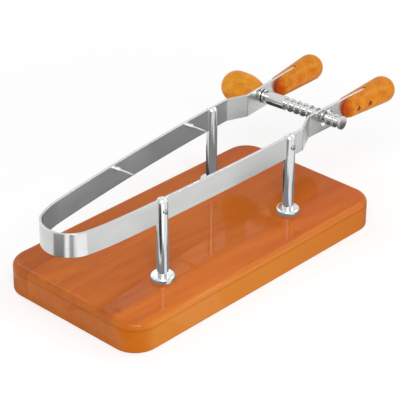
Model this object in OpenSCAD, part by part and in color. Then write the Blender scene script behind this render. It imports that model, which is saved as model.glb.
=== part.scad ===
// Spring-band ham clamp: a flat steel hairpin on posts over a wooden board,
// squeezed by two handles and held by a ringed locking rod with a knob.
// Frame: origin at the centre of the board's underside, +X towards the
// handles, +Y towards the swinging rear arm, +Z up. Units are millimetres.

/* [Board] */
// Length of the board along X
board_length = 430; // [400:460]
// Width of the board along Y
board_width = 225; // [200:250]
// Thickness of the board
board_thickness = 39; // [34:44]
// Plan radius of the board's corners
board_corner_r = 31; // [20:40]
// Rounding of the upper edge
board_top_r = 8.5; // [4:12]

/* [Band] */
// Thickness of the flat steel band
band_thickness = 3; // [2.5:0.5:3.5]
// Height of the band, which stands on edge
band_height = 30; // [26:32]
// Height of the band's centre line above the table
band_level = 131.2; // [125:140]
// Bend radius of the front half of the hairpin
front_bend_r = 33.5; // [32:35]
// Bend radius of the rear half of the hairpin
rear_bend_r = 36; // [34:38]

/* [Posts] */
// Diameter of the posts
post_dia = 14; // [12:16]
// Diameter of the posts' round feet
foot_dia = 29; // [24:34]
// Height of the feet
foot_height = 7; // [5:9]

/* [Handles] */
// Length of each handle
handle_length = 98; // [92:104]
// Diameter of a handle at the band
handle_neck_dia = 28; // [26:30]
// Diameter of a handle's round end
handle_bulb_dia = 35.2; // [33:37]

/* [Locking rod] */
// Outside diameter of the shank and the rings
rod_dia = 17.4; // [16:18]
// Distance from one ring to the next
ring_pitch = 9.7; // [9.6:0.1:9.8]
// Thickness of a ring
ring_thickness = 3.2; // [3:0.1:3.4]
// Largest diameter of the knob
knob_dia = 42; // [38:46]

/* [Spikes] */
// Length of each spike beyond the band, with its shoulder
spike_length = 28; // [24:30]
// Diameter of a spike next to its shoulder
spike_dia = 3.2; // [3:0.2:4]

/* [Hidden] */
$fn = 96;

// Small gaps: moving parts, seated parts, and a shaft in its bush
run_gap = 0.3;
seat_gap = 0.02;
fit_gap = 0.05;
slot_gap = 0.06;
// The band's slight bow is drawn in chords, up to this far off the arc
bow_gap = 0.07;
half_t = band_thickness / 2;
band_bottom = band_level - band_height / 2;
board_bottom_r = 2;

// A pose on the band's centre line is [x, y, heading in degrees]
function radius_of(length, turn) = length * 180 / (PI * turn);
function turn_centre(s, r) = [s.x - r * sin(s.z), s.y + r * cos(s.z)];
function after_arc(s, r, turn) =
    let (c = turn_centre(s, r), h = s.z + turn)
    [c.x + r * sin(h), c.y - r * cos(h), h];
function after_line(s, length) =
    [s.x + length * cos(s.z), s.y + length * sin(s.z), s.z];
function creased(s, turn) = [s.x, s.y, s.z + turn];
// Pose s as seen from pose o
function seen_from(s, o) =
    let (dx = s.x - o.x, dy = s.y - o.y)
    [dx * cos(o.z) + dy * sin(o.z), dy * cos(o.z) - dx * sin(o.z), s.z - o.z];
// Poses along a slight bow, drawn as n chords
function chords(s, bow, n) = [
    for (i = [0 : n - 1])
        after_arc(s, radius_of(bow[0], bow[1]), bow[1] * i / n)
];
// A crease is a pose with the turn it makes as a fourth number
function crease(s, turn) = [s.x, s.y, s.z, turn];

// Saw slot in each handle, and the length of band inside it
slot_depth = 45.5;
tang_length = 42.5;

// The swing axis stands in the middle of the band at the hairpin's apex
apex_x = -251.5;
apex_y = -17;
apex_gap_turn = run_gap / 2 * 180 / (PI * front_bend_r);

// Front arm, from the apex to the end inside the handle
front_bend_turn = 79.8;
front_ease = [37, 6.6];
front_lead = [72, 2.2];
front_span = [219.5, 2.1];
f0 = [apex_x, apex_y, -90];
f1 = after_arc(f0, front_bend_r, front_bend_turn);
f2 = after_arc(f1, radius_of(front_ease[0], front_ease[1]), front_ease[1]);
f3 = after_arc(f2, radius_of(front_lead[0], front_lead[1]), front_lead[1]);
f4 = after_arc(f3, radius_of(front_span[0], front_span[1]), front_span[1]);
front_crease_1 = 27.9;
front_crease_2 = -28.3;
post_to_crease = 23.8;
front_slant = 34.5;
front_tail = 66.9;
f5 = after_line(f4, post_to_crease);
f6 = after_line(creased(f5, front_crease_1), front_slant);
f7 = creased(f6, front_crease_2);
front_end = after_line(f7, front_tail);
front_line = concat(
    chords(f1, front_ease, 3), chords(f2, front_lead, 3),
    chords(f3, front_span, 6), [f4],
    [crease(f5, front_crease_1), crease(f6, front_crease_2)],
    [after_line(front_end, tang_length)]
);

// Rear arm, likewise
rear_bend_turn = -66;
rear_ease = [34, -14.4];
rear_span = [294.3, -5.2];
r0 = [apex_x, apex_y, 90];
r1 = after_arc(r0, -rear_bend_r, rear_bend_turn);
r2 = after_arc(r1, radius_of(rear_ease[0], rear_ease[1]), rear_ease[1]);
r3 = after_arc(r2, radius_of(rear_span[0], rear_span[1]), rear_span[1]);
rear_crease_1 = -25.9;
rear_crease_2 = 28.1;
rear_post_to_crease = 29;
rear_slant = 29;
rear_tail = 63.7;
r4 = after_line(r3, rear_post_to_crease);
r5 = after_line(creased(r4, rear_crease_1), rear_slant);
r6 = creased(r5, rear_crease_2);
rear_end = after_line(r6, rear_tail);
rear_line = concat(
    chords(r1, rear_ease, 4), chords(r2, rear_span, 8), [r3],
    [crease(r4, rear_crease_1), crease(r5, rear_crease_2)],
    [after_line(rear_end, tang_length)]
);

// Handle screws, sunk into the outer side only
grip_screw_r = 2.2;
grip_head_r = 3.2;
grip_head_height = 2;
grip_head_recess = 1.8;
grip_screw_reach = 8;
grip_screw_places = [16.5, 38];
handle_edge_r = 12;

// Posts and their screws
post_r = post_dia / 2;
post_rise = 1.8;
post_top = band_bottom + band_height + post_rise;
dome_height = 5;
dome_r = (post_r * post_r + dome_height * dome_height) / (2 * dome_height);
screw_r = 2.45;
screw_head_r = 3.8;
screw_head_height = 2;
screw_recess = 2.2;
screw_end_gap = 0.5;
screw_slot = 1;
screw_gap = 0.1;
bolt_r = 4;
bolt_head_r = 6.5;
bolt_head_height = 5;
bolt_socket_r = 3.4;
bolt_socket_depth = 3;
bolt_hole_gap = 0.4;
washer_r = 10;
washer_height = 1.6;
counterbore_r = 11;
counterbore_depth = 9;
bolt_reach = 20;

// Spikes, as shares of the arc that they stand on
spike_shares = [0.359, 0.841];
spike_rise = 8;
spike_level = band_level + spike_rise;
spike_shoulder_r = 3;
spike_shoulder = 5.5;
spike_stud_r = 2;
spike_tip_r = 0.2;

// Locking rod: local +Z runs along the rod from the rear arm to the front
rod_yaw = 4.3;
crease_to_rod = 37.05;
rod_at = after_line(r6, crease_to_rod);
rod_r = rod_dia / 2;
neck_r = 4.5;
core_r = 4.3;
stud_r = 4;
shank_start = 9.5;
// Distance along the rod at which its axis meets the front band
rod_reach = (rod_at.y - f7.y - tan(f7.z) * (rod_at.x - f7.x))
    / (cos(rod_yaw) + sin(rod_yaw) * tan(f7.z));
// The seventh ring from the shank stands just outside the front band
ring_count = 9;
holding_ring = 7;
ring_stand = 0.95;
first_ring = rod_reach + half_t + ring_stand + ring_thickness / 2
    - (holding_ring - 1) * ring_pitch;
shank_end = first_ring - ring_pitch + ring_thickness / 2;
window_shift = -1;
window_x = rod_at.x + rod_reach * sin(rod_yaw) + window_shift;
window_width = 24;
window_height = 21;
bush_r = 6.2;
bush_hole_r = 7.4;
bush_stand = 2.7;
bush_flange_r = 9.2;
bush_flange = 2.5;
bush_ring_r = 9;
bush_ring_height = 1.8;
knob_base = bush_stand + bush_ring_height + run_gap;
knob_r = knob_dia / 2;
knob_waist = 8;
knob_flank_r = 52.5;
knob_flank = 29.8;
knob_bore = 20;

steel = [0.72, 0.73, 0.73];
chrome = [0.82, 0.83, 0.85];
board_wood = [0.66, 0.36, 0.16];
grip_wood = [0.86, 0.52, 0.17];

// Half of the board's cross-section, from a datum out to the rounded edge
module edge_profile(reach) {
    union() {
        square([reach - board_top_r, board_thickness]);
        square([reach - board_bottom_r, board_thickness / 2]);
        translate([0, board_bottom_r])
            square([reach, board_thickness - board_top_r - board_bottom_r]);
        translate([reach - board_top_r, board_thickness - board_top_r])
            circle(board_top_r);
        translate([reach - board_bottom_r, board_bottom_r])
            circle(board_bottom_r);
    }
}

module board_blank() {
    in_x = board_length / 2 - board_corner_r;
    in_y = board_width / 2 - board_corner_r;
    for (side = [0, 1])
        mirror([0, side, 0])
            translate([-in_x, 0, 0])
                rotate([90, 0, 90])
                    linear_extrude(2 * in_x)
                        edge_profile(board_width / 2);
    for (side = [0, 1])
        mirror([side, 0, 0])
            translate([in_x, in_y, 0])
                rotate([90, 0, 0])
                    linear_extrude(2 * in_y)
                        edge_profile(board_corner_r);
    for (c = [[1, 1, 0], [-1, 1, 90], [-1, -1, 180], [1, -1, 270]])
        translate([c.x * in_x, c.y * in_y, 0])
            rotate([0, 0, c.z])
                rotate_extrude(angle = 90)
                    edge_profile(board_corner_r);
}

module at_front_posts() {
    for (s = [f3, f4])
        translate([s.x, s.y, 0])
            rotate([0, 0, s.z])
                children();
}

module base_board() {
    color(board_wood)
        difference() {
            board_blank();
            at_front_posts() {
                translate([0, 0, -1])
                    cylinder(r = counterbore_r, h = counterbore_depth + 1);
                translate([0, 0, -1])
                    cylinder(r = bolt_r + bolt_hole_gap,
                             h = board_thickness + 2);
            }
        }
}

// Point on the band's face at pose s, to the left (1) or right (-1);
// turn is that of a crease there
function face_point(s, turn, side) =
    let (m = s.z + turn / 2, reach = side * half_t / cos(turn / 2))
    [s.x - reach * sin(m), s.y + reach * cos(m)];
function face(line, side) = [
    for (s = line)
        face_point(seen_from(s, line[0]), len(s) > 3 ? s[3] : 0, side)
];
function reversed(list) = [for (i = [len(list) - 1 : -1 : 0]) list[i]];

// The band along a list of poses, led into by a bend on one side of it
module band_along(line, bend_r, bend_turn, side) {
    start = line[0];
    translate([start.x, start.y, band_bottom])
        rotate([0, 0, start.z])
            union() {
                linear_extrude(band_height)
                    polygon(concat(face(line, 1), reversed(face(line, -1))));
                mirror([0, side > 0 ? 1 : 0, 0])
                    translate([0, -bend_r, 0])
                        rotate([0, 0, 90])
                            rotate_extrude(angle = bend_turn)
                                translate([bend_r - half_t, 0])
                                    square([band_thickness, band_height]);
            }
}

// A hole across the band at pose s, at the given height
module band_hole(s, level, r) {
    translate([s.x, s.y, level])
        rotate([90, 0, s.z])
            cylinder(r = r, h = 4 * band_thickness, center = true);
}

function spike_pose(share) =
    after_arc(r2, radius_of(rear_span[0], rear_span[1]),
              rear_span[1] * share);

// The holes for the handle screws in the band that ends at pose s
module tang_holes(s) {
    for (place = grip_screw_places)
        band_hole(after_line(s, place), band_level, grip_screw_r + seat_gap);
}

module front_band() {
    color(steel)
        difference() {
            band_along(front_line, front_bend_r,
                       front_bend_turn - apex_gap_turn, 1);
            for (s = [f3, f4])
                band_hole(s, band_level, screw_r + screw_gap);
            tang_holes(front_end);
            rod_window();
        }
}

// Oblong window in the front band that the rod passes through
module rod_window() {
    half = (window_width - window_height) / 2;
    translate([window_x, f7.y, band_level])
        rotate([90, 0, 0])
            union() {
                for (side = [-1, 1])
                    translate([side * half, 0, 0])
                        cylinder(r = window_height / 2, h = 20, center = true);
                cube([2 * half, window_height, 20], center = true);
            }
}

module rear_band() {
    color(steel)
        difference() {
            band_along(rear_line, rear_bend_r,
                       -rear_bend_turn - apex_gap_turn, -1);
            band_hole(r3, band_level, screw_r + screw_gap);
            band_hole(rod_at, band_level, bush_hole_r);
            for (share = spike_shares)
                band_hole(spike_pose(share), spike_level,
                          spike_stud_r + seat_gap);
            tang_holes(rear_end);
        }
}

// A domed post, slotted for the band; outward is -1 or +1 along local Y
module post(bottom, outward) {
    difference() {
        rotate_extrude()
            intersection() {
                translate([0, bottom])
                    square([post_r, post_top - bottom]);
                union() {
                    square([post_r, post_top - dome_height]);
                    translate([0, post_top - dome_r])
                        circle(dome_r);
                }
            }
        translate([-post_r - 1, -half_t - slot_gap, band_bottom])
            cube([post_dia + 2, band_thickness + 2 * slot_gap,
                  band_height + 10]);
        translate([0, 0, band_level])
            rotate([90, 0, 0])
                cylinder(r = screw_r + fit_gap, h = post_dia + 2, center = true);
        translate([0, outward * (post_r - screw_recess), band_level])
            rotate([-90 * outward, 0, 0])
                cylinder(r = screw_head_r + screw_gap,
                         h = screw_recess + 2);
    }
}

module front_post(s) {
    color(chrome)
        translate([s.x, s.y, 0])
            rotate([0, 0, s.z])
                difference() {
                    post(board_thickness, -1);
                    translate([0, 0, board_thickness - 1])
                        cylinder(r = bolt_r + seat_gap, h = bolt_reach + 2);
                }
}

module post_front_left() {
    front_post(f3);
}

module post_front_right() {
    front_post(f4);
}

module post_rear() {
    color(chrome)
        translate([r3.x, r3.y, 0])
            rotate([0, 0, r3.z])
                post(board_thickness + run_gap, 1);
}

// A round foot with a full outer edge, its underside at the given level
module foot(s, level) {
    edge_r = 2.5;
    outer = foot_dia / 2;
    bore = post_r + seat_gap;
    color(chrome)
        translate([s.x, s.y, level])
            rotate_extrude()
                union() {
                    translate([bore, 0])
                        square([outer - edge_r - bore, foot_height]);
                    translate([bore, 0])
                        square([outer - edge_r / 2 - bore,
                                foot_height - edge_r]);
                    translate([outer - edge_r, foot_height - edge_r])
                        circle(edge_r);
                }
}

module foot_front_left() {
    foot(f3, board_thickness);
}

module foot_front_right() {
    foot(f4, board_thickness);
}

module foot_rear() {
    foot(r3, board_thickness + run_gap);
}

// The screwdriver slot in a head whose face is at the given height
module head_slot(top) {
    translate([-5, -screw_slot / 2, top - screw_slot])
        cube([10, screw_slot, 2 * screw_slot]);
}

// Slotted cross screw; local +Z points out of its head
module cross_screw() {
    seat = post_r - screw_recess;
    difference() {
        union() {
            translate([0, 0, screw_end_gap - post_r])
                cylinder(r = screw_r, h = seat + post_r - screw_end_gap);
            translate([0, 0, seat])
                cylinder(r = screw_head_r, h = screw_head_height);
        }
        head_slot(seat + screw_head_height);
    }
}

module front_post_screws() {
    color(chrome)
        at_front_posts()
            translate([0, 0, band_level])
                rotate([90, 0, 0])
                    cross_screw();
}

module rear_post_screw() {
    color(chrome)
        translate([r3.x, r3.y, band_level])
            rotate([-90, 0, r3.z])
                cross_screw();
}

module anchor_screws() {
    seat = counterbore_depth - washer_height;
    color(chrome)
        at_front_posts()
            difference() {
                union() {
                    translate([0, 0, seat - bolt_head_height])
                        cylinder(r = bolt_head_r, h = bolt_head_height);
                    translate([0, 0, seat - 1])
                        cylinder(r = bolt_r,
                                 h = board_thickness + bolt_reach - seat);
                }
                translate([0, 0, seat - bolt_head_height - 1])
                    cylinder(r = bolt_socket_r, h = bolt_socket_depth + 1,
                             $fn = 6);
            }
}

module anchor_washers() {
    color(steel)
        at_front_posts()
            translate([0, 0, counterbore_depth - washer_height])
                difference() {
                    cylinder(r = washer_r, h = washer_height);
                    translate([0, 0, -1])
                        cylinder(r = bolt_r + bolt_hole_gap / 2,
                                 h = washer_height + 2);
                }
}

// A shouldered spike at pose s, on the side of the band towards the ham
module spike(s) {
    translate([s.x, s.y, spike_level])
        rotate([90, 0, s.z])
            union() {
                translate([0, 0, -half_t])
                    cylinder(r = spike_stud_r, h = band_thickness + 1);
                translate([0, 0, half_t + bow_gap])
                    cylinder(r = spike_shoulder_r, h = spike_shoulder);
                translate([0, 0, half_t + spike_shoulder])
                    cylinder(r1 = spike_dia / 2, r2 = spike_tip_r,
                             h = spike_length - spike_shoulder);
            }
}

module rear_spikes() {
    color(steel)
        for (share = spike_shares)
            spike(spike_pose(share));
}

// Distance from a handle's axis to the seats of its screw heads
function screw_seat(place) =
    let (swell = (handle_bulb_dia - handle_neck_dia) / 2 / handle_length)
    handle_neck_dia / 2 + swell * place - grip_head_recess - grip_head_height;

// Children at each screw of the handle at pose s, local +Z towards the
// head; side is -1 for a head on the right of the band, +1 on the left
module at_grip_screws(side) {
    for (place = grip_screw_places)
        translate([0, 0, place])
            rotate([-90 * side, 0, 0]) {
                $seat = screw_seat(place);
                children();
            }
}

// Half of a handle's cross-section: a rounded neck swelling to a round end
module handle_profile() {
    neck = handle_neck_dia / 2;
    bulb = handle_bulb_dia / 2;
    edge = handle_edge_r;
    top = handle_length - bulb;
    reach = norm([neck - edge, top - edge]);
    lean = asin((bulb - edge) / reach) - atan2(neck - edge, top - edge);
    n = [cos(lean), -sin(lean)];
    intersection() {
        square([bulb + 1, handle_length + 1]);
        union() {
            polygon([
                [0, 0], [neck - edge, 0],
                [neck - edge + edge * n.x, edge + edge * n.y],
                [bulb * n.x, top + bulb * n.y], [0, top]
            ]);
            translate([neck - edge, edge])
                circle(edge);
            translate([0, top])
                circle(bulb);
        }
    }
}

// Drop-shaped handle along local +Z, sawn for the tang and bored for the
// two screws that hold it
module handle(s, side) {
    translate([s.x, s.y, band_level])
        rotate([0, 90, s.z])
            difference() {
                rotate_extrude()
                    handle_profile();
                translate([-handle_bulb_dia, -half_t - seat_gap, -1])
                    cube([2 * handle_bulb_dia, band_thickness + 2 * seat_gap,
                          slot_depth + 1]);
                at_grip_screws(side) {
                    translate([0, 0, -grip_screw_reach - 1])
                        cylinder(r = grip_screw_r + seat_gap, h = 40);
                    translate([0, 0, $seat])
                        cylinder(r = grip_head_r + run_gap, h = 20);
                }
            }
}

module front_handle() {
    color(grip_wood)
        handle(front_end, -1);
}

module rear_handle() {
    color(grip_wood)
        handle(rear_end, 1);
}

// The two slotted screws of a handle
module handle_screws(s, side) {
    translate([s.x, s.y, band_level])
        rotate([0, 90, s.z])
            at_grip_screws(side)
                difference() {
                    union() {
                        translate([0, 0, -grip_screw_reach])
                            cylinder(r = grip_screw_r,
                                     h = grip_screw_reach + $seat);
                        translate([0, 0, $seat])
                            cylinder(r = grip_head_r, h = grip_head_height);
                    }
                    head_slot($seat + grip_head_height);
                }
}

module front_handle_screws() {
    color(steel)
        handle_screws(front_end, -1);
}

module rear_handle_screws() {
    color(steel)
        handle_screws(rear_end, 1);
}

module on_rod() {
    translate([rod_at.x, rod_at.y, band_level])
        rotate([90, 0, rod_yaw])
            children();
}

// Flanged bush, loose in the rear band so that the rod can tilt
module rod_bush() {
    color(steel)
        on_rod()
            difference() {
                union() {
                    translate([0, 0, -bush_stand - bush_ring_height])
                        cylinder(r = bush_r, h = 2 * bush_stand + bush_ring_height);
                    translate([0, 0, bush_stand])
                        cylinder(r = bush_flange_r, h = bush_flange);
                }
                translate([0, 0, -20])
                    cylinder(r = neck_r + fit_gap, h = 40);
            }
}

module bush_ring() {
    color(steel)
        on_rod()
            translate([0, 0, -bush_stand - bush_ring_height])
                difference() {
                    cylinder(r = bush_ring_r, h = bush_ring_height);
                    translate([0, 0, -1])
                        cylinder(r = bush_r + seat_gap, h = bush_ring_height + 2);
                }
}

module lock_rod() {
    last_ring = first_ring + (ring_count - 1) * ring_pitch;
    color(steel)
        on_rod()
            union() {
                translate([0, 0, -knob_base - knob_bore + 2])
                    cylinder(r = stud_r, h = knob_bore);
                translate([0, 0, -knob_base])
                    cylinder(r = neck_r, h = knob_base + shank_start + 1);
                translate([0, 0, shank_start])
                    cylinder(r = rod_r, h = shank_end - shank_start);
                translate([0, 0, shank_end - 1])
                    cylinder(r = core_r, h = last_ring - shank_end + 1);
                for (k = [0 : ring_count - 1])
                    translate([0, 0, first_ring + k * ring_pitch
                                     - ring_thickness / 2])
                        cylinder(r = rod_r, h = ring_thickness);
            }
}

module knob() {
    color(grip_wood)
        on_rod()
            translate([0, 0, -knob_base])
                mirror([0, 0, 1])
                    difference() {
                        rotate_extrude()
                            union() {
                                intersection() {
                                    square([knob_r, knob_flank]);
                                    translate([knob_r - knob_flank_r,
                                               knob_flank])
                                        circle(knob_flank_r);
                                }
                                translate([0, knob_flank])
                                    square([knob_r, knob_waist]);
                                intersection() {
                                    translate([0, knob_flank + knob_waist])
                                        square([knob_r, knob_r]);
                                    translate([0, knob_flank + knob_waist])
                                        circle(knob_r);
                                }
                            }
                        translate([0, 0, -1])
                            cylinder(r = stud_r + seat_gap,
                                     h = knob_bore + 1);
                    }
}

base_board();
foot_front_left();
foot_front_right();
post_front_left();
post_front_right();
front_post_screws();
anchor_screws();
anchor_washers();
front_band();
front_handle();
front_handle_screws();
rear_band();
post_rear();
foot_rear();
rear_post_screw();
rear_spikes();
rear_handle();
rear_handle_screws();
rod_bush();
bush_ring();
lock_rod();
knob();
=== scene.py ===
"""Looks of a spring-band ham clamp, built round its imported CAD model.

Lengths are in metres, in the frame of the CAD: +X towards the handles,
+Y towards the swinging rear arm, +Z up.
"""

import math

import bmesh
import bpy
from mathutils import Matrix, Vector

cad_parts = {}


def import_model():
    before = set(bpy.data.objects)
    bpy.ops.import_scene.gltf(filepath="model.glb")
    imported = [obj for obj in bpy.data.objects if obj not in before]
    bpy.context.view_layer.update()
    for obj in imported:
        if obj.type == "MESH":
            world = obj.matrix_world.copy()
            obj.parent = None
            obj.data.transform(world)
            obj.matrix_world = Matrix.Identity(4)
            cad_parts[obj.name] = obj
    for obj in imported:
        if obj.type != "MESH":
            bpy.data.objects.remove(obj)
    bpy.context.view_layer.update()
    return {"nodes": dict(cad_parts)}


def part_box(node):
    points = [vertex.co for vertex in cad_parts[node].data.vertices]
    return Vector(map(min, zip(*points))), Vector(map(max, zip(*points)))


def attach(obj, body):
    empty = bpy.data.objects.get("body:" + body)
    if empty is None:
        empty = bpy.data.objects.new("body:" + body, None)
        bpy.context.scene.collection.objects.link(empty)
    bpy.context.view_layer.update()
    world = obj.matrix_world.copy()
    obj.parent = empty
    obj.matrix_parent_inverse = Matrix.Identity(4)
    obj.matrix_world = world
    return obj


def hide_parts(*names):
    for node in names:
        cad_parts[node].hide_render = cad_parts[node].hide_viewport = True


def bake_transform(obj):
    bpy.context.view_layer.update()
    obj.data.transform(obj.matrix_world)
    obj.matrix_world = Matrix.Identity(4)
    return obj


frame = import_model()
MM = 0.001

# ---------------------------------------------------------------- sizes

BAND_THICKNESS = 3 * MM
BAND_BOTTOM, BAND_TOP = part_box("front_band")[0].z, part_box("front_band")[1].z
BAND_LEVEL = (BAND_BOTTOM + BAND_TOP) / 2
BAND_EDGE = 0.45 * MM
APEX = (-251.5 * MM, -17 * MM)
FRONT_BEND_R, FRONT_BEND_TURN = 33.5 * MM, 79.8
REAR_BEND_R, REAR_BEND_TURN = 36 * MM, 66
FRONT_SLANT, REAR_SLANT = 34.5 * MM, 29 * MM
FRONT_TAIL, REAR_TAIL = 66.9 * MM, 63.7 * MM
TANG = 42.5 * MM
# Each stretch is (length, turn in degrees); a crease has no length
FRONT_PATH = [
    (FRONT_BEND_R * math.radians(FRONT_BEND_TURN), FRONT_BEND_TURN),
    (37 * MM, 6.6), (72 * MM, 2.2), (219.5 * MM, 2.1), (23.8 * MM, 0),
    (0, 27.9), (FRONT_SLANT, 0), (0, -28.3), (FRONT_TAIL, 0), (TANG, 0),
]
REAR_PATH = [
    (REAR_BEND_R * math.radians(REAR_BEND_TURN), -REAR_BEND_TURN),
    (34 * MM, -14.4), (294.3 * MM, -5.2), (29 * MM, 0),
    (0, -25.9), (REAR_SLANT, 0), (0, 28.1), (REAR_TAIL, 0), (TANG, 0),
]
NO_CREASE = (1, 0)
CREASE_RADIUS, CREASE_STEPS = 5 * MM, 6
# The longest step along a stretch, and its largest turn in degrees
WALK_STEP, WALK_TURN = 12 * MM, 2.5

WINDOW_R, WINDOW_HALF, WINDOW_SHIFT = 10.5 * MM, 1.5 * MM, 1 * MM
BUSH_HOLE_R = 7.4 * MM
ROD_YAW = math.radians(4.3)
ROD_FROM_CREASE = 37.05 * MM
KNOB_BASE = 4.8 * MM
SPIKE_SHARES = (0.359, 0.841)
HANDLE_LENGTH, HANDLE_NECK, HANDLE_BULB = 98 * MM, 14 * MM, 17.6 * MM
HANDLE_EDGE = 12 * MM
TANG_SLOT_DEPTH, TANG_SLOT_GAP = 45.5 * MM, 0.5 * MM
GRIP_SCREWS = (16.5 * MM, 38 * MM)
GRIP_HEAD, GRIP_HEAD_HEIGHT, GRIP_RECESS = 3.2 * MM, 2 * MM, 1.8 * MM
GRIP_HEAD_GAP = 0.35 * MM
# How far a cross screw's seat lies inside the post, and its radii
CROSS_SEAT = 2.2 * MM
CROSS_HEAD, CROSS_RECESS, CROSS_SHANK = 3.3 * MM, 4.3 * MM, 2.45 * MM
POST_HEADINGS = {"post_front_left": -1.4, "post_front_right": 0.7, "post_rear": 4.4}
POST_SLOT_GAP = 0.12 * MM
# How far a cutter reaches past the face that it opens
OVERRUN = 10 * MM
# Edges between faces that turn more than this many degrees stay sharp
SHARP_ANGLE = 32
# A point nearer to a lathe's axis than this lies on it
ON_AXIS = 1e-7


def middle(node):
    low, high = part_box(node)
    return (low + high) / 2


def width(node):
    low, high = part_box(node)
    return high.x - low.x


# ---------------------------------------------------------------- paths


def start_pose(path):
    """The hairpin's apex, heading out of the bend along one of the paths."""
    x, y = APEX
    return x, y, math.radians(-90 if path is FRONT_PATH else 90)


def arc_step(x, y, h, length, turn):
    chord = length if turn == 0 else 2 * length / turn * math.sin(turn / 2)
    mean = h + turn / 2
    return x + chord * math.cos(mean), y + chord * math.sin(mean), h + turn


def extend(poses, length, turn, steps):
    """Adds the poses of an arc, cut into that many equal steps."""
    for _ in range(steps):
        x, y, h, run = poses[-1]
        x, y, h = arc_step(x, y, h, length / steps, turn / steps)
        poses.append((x, y, h, run + length / steps))


def crease_cut(stretch):
    """What a rounded crease takes off each stretch beside it."""
    length, turn = stretch
    return CREASE_RADIUS * math.tan(abs(math.radians(turn)) / 2) if length == 0 else 0


def walk(path):
    """Poses (x, y, heading in radians, length so far) along stretches."""
    poses = [(*start_pose(path), 0.0)]
    for index, (length, turn) in enumerate(path):
        if length == 0:
            continue
        before = path[index - 1] if index else NO_CREASE
        after = path[index + 1] if index + 1 < len(path) else NO_CREASE
        if before[0] == 0:
            bend = math.radians(before[1])
            extend(poses, CREASE_RADIUS * abs(bend), bend, CREASE_STEPS)
        plain = length - crease_cut(before) - crease_cut(after)
        steps = max(math.ceil(plain / WALK_STEP), math.ceil(abs(turn) / WALK_TURN))
        extend(poses, plain, math.radians(turn), steps)
    return poses


def tail_pose(path, advance=0.0):
    """Pose on the plain centre line, that far past the path's last crease."""
    x, y, h = start_pose(path)
    last = max(i for i, (length, _) in enumerate(path) if length == 0)
    for length, turn in path[:last + 1]:
        x, y, h = arc_step(x, y, h, length, math.radians(turn))
    return x + advance * math.cos(h), y + advance * math.sin(h), h


ROD_X, ROD_Y, REAR_HEADING = tail_pose(REAR_PATH, ROD_FROM_CREASE)


def rod_reach():
    """Distance along the rod from the rear arm to the front arm."""
    x, y, h = tail_pose(FRONT_PATH)
    slope = math.tan(h)
    over = ROD_Y - y - slope * (ROD_X - x)
    return over / (math.cos(ROD_YAW) + math.sin(ROD_YAW) * slope)


def fillet(points, radii, steps=5):
    """A polyline with its corners rounded; one radius for each point."""
    out = []
    for i, (p, r) in enumerate(zip(points, radii)):
        p = Vector(p)
        if r == 0 or i in (0, len(points) - 1):
            out.append(p)
            continue
        a = (Vector(points[i - 1]) - p).normalized()
        b = (Vector(points[i + 1]) - p).normalized()
        half = math.acos(max(-1, min(1, a.dot(b)))) / 2
        reach = r / math.tan(half)
        centre = p + (a + b).normalized() * (r / math.sin(half))
        start, end = p + a * reach - centre, p + b * reach - centre
        sweep = math.pi - 2 * half
        for k in range(steps + 1):
            t = k / steps
            mix = (start * math.sin((1 - t) * sweep) + end * math.sin(t * sweep))
            out.append(centre + mix / math.sin(sweep))
    return [(q.x, q.y) for q in out]


# ---------------------------------------------------------------- meshes


def shade(obj, angle=SHARP_ANGLE):
    """Smooth faces with sharp edges, and normals weighted by area."""
    obj.data.shade_smooth()
    obj.data.set_sharp_from_angle(angle=math.radians(angle))
    normals = obj.modifiers.new("normals", "WEIGHTED_NORMAL")
    normals.keep_sharp = True


def finish_mesh(mesh, name, material, angle=SHARP_ANGLE):
    mesh.validate()
    obj = bpy.data.objects.new(name, mesh)
    bpy.context.scene.collection.objects.link(obj)
    mesh.materials.append(material)
    shade(obj, angle)
    return obj


def new_piece(name, verts, faces, material, angle=SHARP_ANGLE):
    mesh = bpy.data.meshes.new(name)
    mesh.from_pydata([tuple(v) for v in verts], [], faces)
    return finish_mesh(mesh, name, material, angle)


def turned_piece(name, data, material, angle=SHARP_ANGLE):
    """A piece from the vertices and faces of a turned form."""
    obj = new_piece(name, *data, material, angle)
    recalculate(obj.data)
    return obj


def recalculate(mesh):
    """Turns all faces outwards."""
    bm = bmesh.new()
    bm.from_mesh(mesh)
    bmesh.ops.recalc_face_normals(bm, faces=bm.faces)
    bm.to_mesh(mesh)
    bm.free()


def skin(count, loops):
    """Faces over a row of loops with count vertices each, and its two ends."""
    faces = []
    last = (loops - 1) * count
    for start in range(0, last, count):
        for k in range(count):
            a, b = start + k, start + (k + 1) % count
            faces.append((a, b, b + count, a + count))
    return faces + [tuple(range(count))[::-1], tuple(range(last, last + count))]


def lathe_data(profile, segments=72, matrix=None):
    """Vertices and faces of a closed turned form; profile is (radius, z)."""
    matrix = matrix or Matrix.Identity(4)
    verts, rings, faces = [], [], []
    for r, z in profile:
        if r < ON_AXIS:
            rings.append([len(verts)])
            verts.append(matrix @ Vector((0, 0, z)))
            continue
        ring = []
        for k in range(segments):
            a = 2 * math.pi * k / segments
            ring.append(len(verts))
            verts.append(matrix @ Vector((r * math.cos(a), r * math.sin(a), z)))
        rings.append(ring)
    for low, high in zip(rings, rings[1:]):
        for k in range(segments):
            n = (k + 1) % segments
            if len(low) == 1 and len(high) == 1:
                continue
            if len(low) == 1:
                faces.append((low[0], high[n], high[k]))
            elif len(high) == 1:
                faces.append((low[k], low[n], high[0]))
            else:
                faces.append((low[k], low[n], high[n], high[k]))
    return verts, faces


def tube_data(profile, segments=72):
    """As lathe_data, for a ring whose profile closes on itself."""
    verts, faces = lathe_data([*profile, profile[0]], segments)
    count = segments * len(profile)
    faces = [tuple(v if v < count else v - count for v in f) for f in faces]
    return verts[:count], faces


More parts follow.
